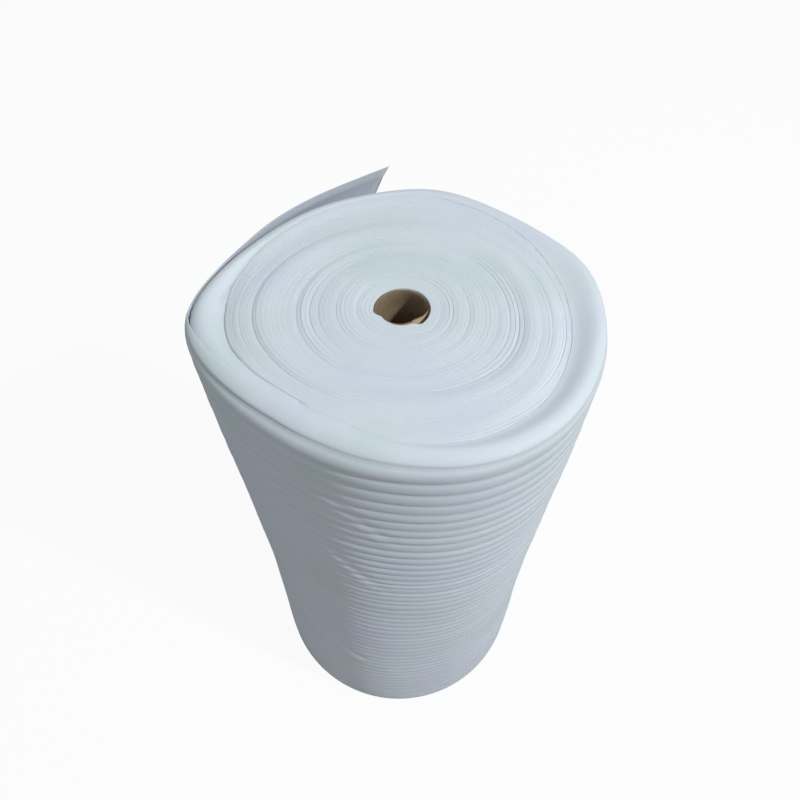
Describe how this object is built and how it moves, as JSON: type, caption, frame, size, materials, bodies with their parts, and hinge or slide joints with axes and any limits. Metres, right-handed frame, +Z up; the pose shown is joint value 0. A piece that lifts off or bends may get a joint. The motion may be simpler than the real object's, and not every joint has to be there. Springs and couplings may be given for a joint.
{
  "type": "foam wrap roll",
  "caption": "Upright roll of white foam wrap sheet wound on a cardboard tube, with ridged side, wound turns on its end and a free sheet end standing off behind.",
  "frame": {"origin": "axis of the cardboard tube at floor level, where the standing roll rests", "axes": "+Z up along the tube and the width of the sheet, +X towards the right corner of the roll, -Y towards the viewer of the picture"},
  "size_m": [0.5611, 0.568, 1],
  "materials": {
    "foam_sheet": "soft satin closed-cell foam",
    "kraft_board": "spiral-wound brown board"
  },
  "bodies": {
    "root": {"foam_roll": "foam_sheet", "core_tube": "kraft_board"}
  },
  "joints": []
}
